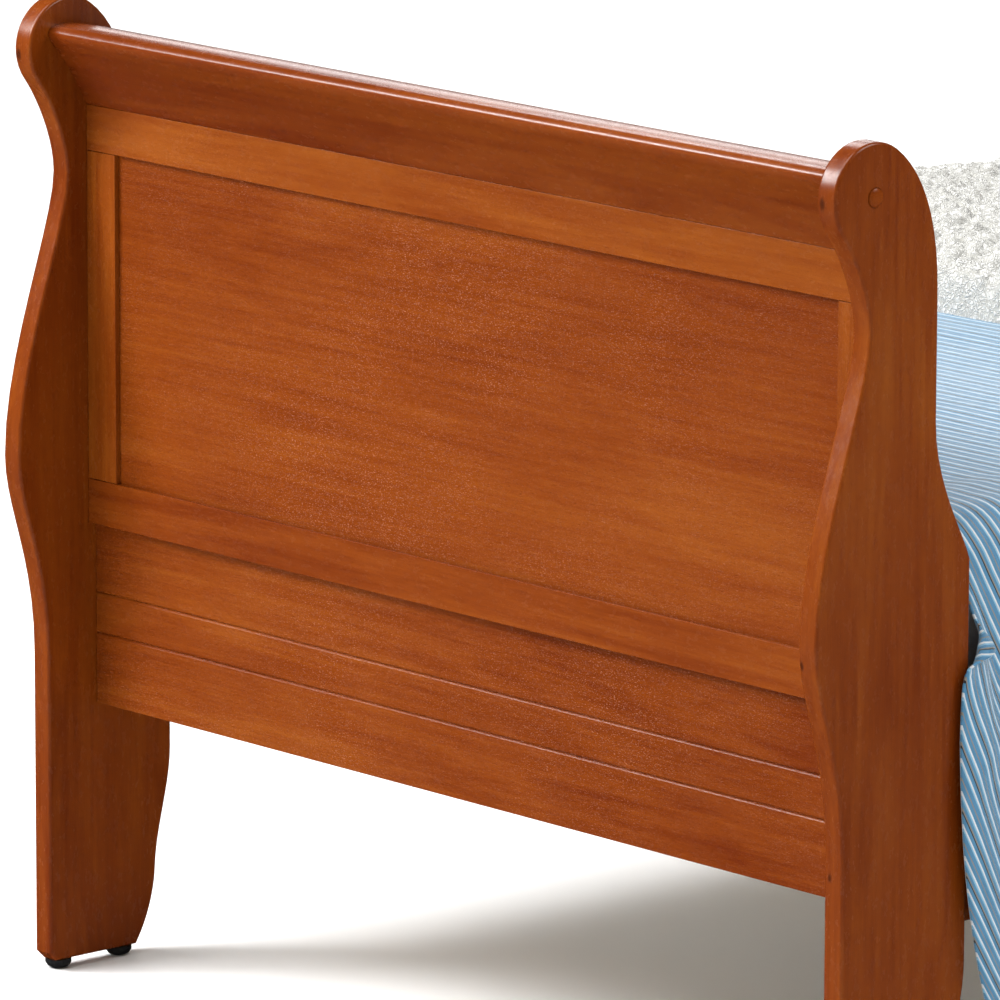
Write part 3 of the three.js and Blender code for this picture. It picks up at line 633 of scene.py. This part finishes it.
def make_pads():
    for node, edge, colour in (
        ("foundation", 12 * MM, (0.62, 0.60, 0.55)),
        ("mattress", MATTRESS_EDGE, (0.80, 0.79, 0.75)),
    ):
        lo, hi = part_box(node)
        inset = Vector((2 * MM, 2 * MM, 0))
        mesh = rounded_block(lo + inset, hi - inset, edge)
        for vert in mesh.vertices:
            across = abs(vert.co.x) / hi.x
            along = abs(vert.co.y) / hi.y
            middle = 1 - abs(2 * (vert.co.z - lo.z) / (hi.z - lo.z) - 1)
            vert.co.x *= 1 - PAD_PULL / hi.x * (1 - middle) * (along > 0.9)
            if vert.co.z > hi.z - edge:
                vert.co.z -= PAD_CROWN * max(across, along) ** 4
        cover = ticking(f"{node}_cover", colour, 1.4 * MM)
        piece = finish_piece(f"{node}_pad", mesh, cover, "bedding", [node])
        add_piping(f"{node}_piping", lo + inset, hi - inset, edge, 30 * MM, cover)


def cloth_sheet(name, across, along, kept, shape, flat):
    """A grid of cloth. shape places each flat point in the room, and flat gives its UV."""
    bm = bmesh.new()
    layer = bm.loops.layers.uv.new("UVMap")
    verts = {}
    cuts = {}

    def vert(i, j):
        if (i, j) not in verts:
            verts[i, j] = bm.verts.new(shape(across[i], along[j]))
            cuts[verts[i, j]] = flat(across[i], along[j])
        return verts[i, j]

    for i in range(len(across) - 1):
        for j in range(len(along) - 1):
            if kept((across[i] + across[i + 1]) / 2, (along[j] + along[j + 1]) / 2):
                corners = (vert(i, j), vert(i + 1, j), vert(i + 1, j + 1), vert(i, j + 1))
                face = bm.faces.new(corners)
                face.smooth = True
                for loop in face.loops:
                    loop[layer].uv = cuts[loop.vert]
    mesh = bpy.data.meshes.new(name)
    bm.to_mesh(mesh)
    bm.free()
    cloth = bpy.data.objects.new(name, mesh)
    bpy.context.scene.collection.objects.link(cloth)
    return cloth


def add_obstacle(mesh, gap):
    obstacle = bpy.data.objects.new("obstacle", mesh)
    bpy.context.scene.collection.objects.link(obstacle)
    obstacle.modifiers.new("collision", "COLLISION")
    obstacle.collision.thickness_outer = gap
    obstacle.collision.cloth_friction = 12
    return obstacle


def settle(cloth, obstacles, pinned, frames, bending, gap):
    """Drops the cloth over the obstacles, and returns its mesh once it has come to rest."""
    group = cloth.vertex_groups.new(name="pinned")
    for vert in cloth.data.vertices:
        weight = pinned(vert.co)
        if weight > 0:
            group.add([vert.index], weight, "REPLACE")
    modifier = cloth.modifiers.new("cloth", "CLOTH")
    settings = modifier.settings
    settings.quality = 5
    settings.mass = 0.25
    settings.tension_stiffness = 25
    settings.compression_stiffness = 25
    settings.shear_stiffness = 8
    settings.bending_stiffness = bending
    settings.air_damping = 2
    settings.vertex_group_mass = "pinned"
    modifier.collision_settings.distance_min = gap
    modifier.collision_settings.collision_quality = 2
    modifier.point_cache.frame_start = 1
    modifier.point_cache.frame_end = frames
    scene = bpy.context.scene
    for step in range(1, frames + 1):
        scene.frame_set(step)
    seen = cloth.evaluated_get(bpy.context.evaluated_depsgraph_get())
    mesh = bpy.data.meshes.new_from_object(seen)
    bpy.data.objects.remove(cloth)
    for obstacle in obstacles:
        bpy.data.objects.remove(obstacle)
    scene.frame_set(1)
    return mesh


def evenly(start, end, spacing):
    count = max(1, round((end - start) / spacing))
    return [start + (end - start) * k / count for k in range(count + 1)]


drop_lo, drop_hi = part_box("bedspread_drop_right")
cover_lo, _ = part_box("bedspread_top")
HUNG_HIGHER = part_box("bedspread_drop_left")[0].z - drop_lo.z + 15 * MM  # left hem over the right

BEDSPREAD_GRID = 18 * MM
BEDSPREAD_FRAMES = 45
BEDSPREAD_THICKNESS = 2.6 * MM
EDGE_BEND = 45 * MM
TUCK = 130 * MM         # pushed down between the mattress and each end board
POST_SLIT = 24 * MM     # that the drop's cloth reaches past the flat part, over the posts
LEAN = 0.50             # how much the drop's stripes lean, and how far along the bed they do
LEAN_REACH = 1.1
HEM_RETREAT = 65 * MM   # of the hem at the foot, towards the head
HEM_RETREAT_REACH = 0.40
FULL_DROP = 0.39


def lean(u, v):
    """How far the stripes have slipped towards the head at a flat point of the drop."""
    depth = max(0.0, abs(u) - (drop_hi.x - EDGE_BEND))
    near_foot = max(0.0, 1 - (v + mattress_hi.y) / LEAN_REACH)
    return LEAN * depth * near_foot


def bedspread_shape(u, v):
    """The bedspread before it is let go: flat on the mattress, with full, wavy drops."""
    side = 1 if u >= 0 else -1
    reach = abs(u)
    flat_to = drop_hi.x - EDGE_BEND
    bend = EDGE_BEND * math.pi / 2
    top = cover_lo.z + 3 * MM
    if reach <= flat_to:
        x, z, depth = reach, top, 0.0
    elif reach <= flat_to + bend:
        angle = (reach - flat_to) / EDGE_BEND
        x = flat_to + EDGE_BEND * math.sin(angle)
        z = top - EDGE_BEND * (1 - math.cos(angle))
        depth = 0.0
    else:
        depth = reach - flat_to - bend
        x, z = drop_hi.x, top - EDGE_BEND - depth
    y = v
    past = abs(v) - mattress_hi.y
    if past > 0:
        z -= past
        y = math.copysign(mattress_hi.y + 6 * MM * min(1.0, past / (12 * MM)), v)
    wave = min(1.0, depth / 0.35)
    phase = 24 * v + 3 * math.sin(5 * v + side) + side
    x += wave * (12 * MM * math.sin(phase) + 9 * MM)
    x += 2 * MM * noise.noise(Vector((u, v, 3)) * 6)
    if depth > 0 and v < 0:
        near_foot = max(0.0, 1 - (v + mattress_hi.y) / HEM_RETREAT_REACH)
        y += HEM_RETREAT * (depth / FULL_DROP) ** 3 * near_foot
    return Vector((side * x, y, z))


def make_bedspread():
    """The striped bedspread: tucked in at both ends, hanging at both sides."""
    flat_to = drop_hi.x - EDGE_BEND
    half_width = flat_to + EDGE_BEND * math.pi / 2 + (cover_lo.z - EDGE_BEND - drop_lo.z)
    half_length = mattress_hi.y + TUCK
    across = evenly(-half_width + HUNG_HIGHER, half_width, BEDSPREAD_GRID)
    along = evenly(-half_length, half_length, BEDSPREAD_GRID)
    narrow = mattress_hi.x

    def kept(u, v):
        past_posts = POST_SLIT if abs(u) > drop_hi.x + 20 * MM else 0.0
        return abs(u) < narrow - 4 * MM or abs(v) < drop_hi.y + past_posts

    cloth = cloth_sheet(
        "bedspread", across, along, kept, bedspread_shape, lambda u, v: (u, v - lean(u, v)),
    )

    def pinned(point):
        if abs(point.y) > drop_hi.y + 20 * MM and abs(point.x) < narrow:
            return 1.0
        return 1.0 if abs(point.x) < 0.40 else 0.0

    obstacles = [
        add_obstacle(rounded_block(mattress_lo, mattress_hi, MATTRESS_EDGE, 4), 2 * MM),
    ]
    for node in ["foundation"] + [f"side_rail_{side}" for side, _ in SIDES]:
        lo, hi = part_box(node)
        obstacles.append(add_obstacle(rounded_block(lo, hi, 4 * MM, 2, 0.2), 3 * MM))
    for end, _ in ENDS:
        for side, _ in SIDES:
            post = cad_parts[f"{end}_post_{side}"].data.copy()
            obstacles.append(add_obstacle(post, 3 * MM))
    mesh = settle(cloth, obstacles, pinned, BEDSPREAD_FRAMES, bending=1.2, gap=3 * MM)
    rumple(mesh, 3.0 * MM, Vector((2.2, 9.0, 2.2)))
    woven = striped_cloth("striped_weave")
    nodes = ["bedspread_top", "footboard_bedspread_flap", "headboard_bedspread_flap"]
    nodes += [f"bedspread_drop_{side}" for side, _ in SIDES]
    piece = finish_piece("bedspread", mesh, woven, "bedding", nodes)
    add_layers(piece, BEDSPREAD_THICKNESS, 1)
    return piece


def rumple(mesh, height, scale):
    """Low creases where the cloth lies flat, raised so that none goes into what is under it."""
    for vert in mesh.vertices:
        flatness = max(0.0, vert.normal.z) ** 4
        swell = noise.noise(vert.co * scale)
        ridge = max(0.0, 1 - 5 * abs(noise.noise(vert.co * scale * 0.6 + Vector((9, 4, 1)))))
        vert.co.z += height * flatness * (0.5 * max(0.0, swell) + 0.5 * ridge)


throw_lo, throw_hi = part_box("throw_top")
throw_end_lo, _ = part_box("throw_end_right")
THROW_GRID = 25 * MM
THROW_FRAMES = 36
THROW_BEND = 60 * MM
PILE_LOFT = 50 * MM
PILE_SHOULDER = 80 * MM     # from the edge to where the pile is at its full loft
EDGE_ROLL = 13 * MM
EDGE_ROLL_WIDTH = 9 * MM
TUFT = 12 * MM
TUFT_HEIGHT = 10 * MM


def add_curls(mesh, half_width, half_length):
    """Turns a smooth sheet into deep tufted pile: lofty, and rolled under at its edges."""
    cut = {}
    for loop, place in zip(mesh.loops, mesh.uv_layers[0].data):
        cut[loop.vertex_index] = place.uv.copy()
    normals = [vert.normal.copy() for vert in mesh.vertices]
    for vert, normal in zip(mesh.vertices, normals):
        u, v = cut[vert.index]
        inside = max(0.0, min(half_width - abs(u), half_length - abs(v)))
        swell = noise.noise(Vector((u * 3.1, v * 4.3, 2)))
        fullness = math.sqrt(1 - max(0.0, 1 - inside / PILE_SHOULDER) ** 2)
        vert.co.z += fullness * max(0.0, normal.z) * (PILE_LOFT + 16 * MM * swell)
        place = Vector((u, v, 0)) / TUFT
        swirl = noise.noise_vector(place * 0.8)
        near = noise.voronoi(place + 0.7 * swirl)[0]
        dome = max(0.0, 1 - 1.5 * near[0] ** 2)
        rolled = max(0.0, 1 - inside / EDGE_ROLL_WIDTH)
        vert.co += normal * (TUFT_HEIGHT * (dome - 0.2) * (1 - rolled) - EDGE_ROLL * rolled)
        vert.co += 0.34 * TUFT * swirl * (1 - rolled)


def smoothed(mesh, levels):
    """The mesh after subdivision."""
    holder = bpy.data.objects.new("holder", mesh)
    bpy.context.scene.collection.objects.link(holder)
    modifier = holder.modifiers.new("smooth", "SUBSURF")
    modifier.levels = modifier.render_levels = levels
    seen = holder.evaluated_get(bpy.context.evaluated_depsgraph_get())
    fine = bpy.data.meshes.new_from_object(seen)
    bpy.data.objects.remove(holder)
    return fine


def add_layers(piece, thickness, levels):
    smooth = piece.modifiers.new("smooth", "SUBSURF")
    smooth.levels = smooth.render_levels = levels
    thick = piece.modifiers.new("thickness", "SOLIDIFY")
    thick.thickness = thickness
    thick.offset = 0


def make_throw(under):
    """A curly fleece throw, let fall over the bedspread."""
    half_width = throw_hi.x + (throw_lo.z - throw_end_lo.z) - 20 * MM
    middle = (throw_lo.y + throw_hi.y) / 2
    half_length = (throw_hi.y - throw_lo.y) / 2
    across = evenly(-half_width, half_width, THROW_GRID)
    along = evenly(-half_length, half_length, THROW_GRID)

    def shape(u, v):
        side = 1 if u >= 0 else -1
        bend = THROW_BEND
        flat_to = throw_hi.x + 8 * MM - bend
        reach = abs(u)
        ripple = 14 * MM * noise.noise(Vector((u * 2.2, v * 3.4, 7)))
        x, z = reach, throw_lo.z + 18 * MM
        if reach > flat_to + bend * math.pi / 2:
            x = flat_to + bend
            z -= bend + reach - flat_to - bend * math.pi / 2
            x += ripple
        elif reach > flat_to:
            angle = (reach - flat_to) / bend
            x = flat_to + bend * math.sin(angle)
            z -= bend * (1 - math.cos(angle))
        else:
            z += max(0.0, 2.2 * ripple)
        return Vector((side * x, middle + v, z))

    cloth = cloth_sheet("throw", across, along, lambda u, v: True, shape, lambda u, v: (u, v))
    bed = add_obstacle(under.data.copy(), 7 * MM)
    mesh = settle(cloth, [bed], lambda point: 0.0, THROW_FRAMES, bending=6.0, gap=7 * MM)
    mesh = smoothed(mesh, 3)
    add_curls(mesh, half_width, half_length)
    fleece = curly_pile("curly_fleece")
    nodes = ["throw_top"] + [f"throw_end_{side}" for side, _ in SIDES]
    piece = finish_piece("throw", mesh, fleece, "bedding", nodes)


add_camera()
add_studio()
make_end("footboard", 1.0)
make_end("headboard", 12.0)
make_base()
make_hardware()
make_pads()
make_throw(make_bedspread())
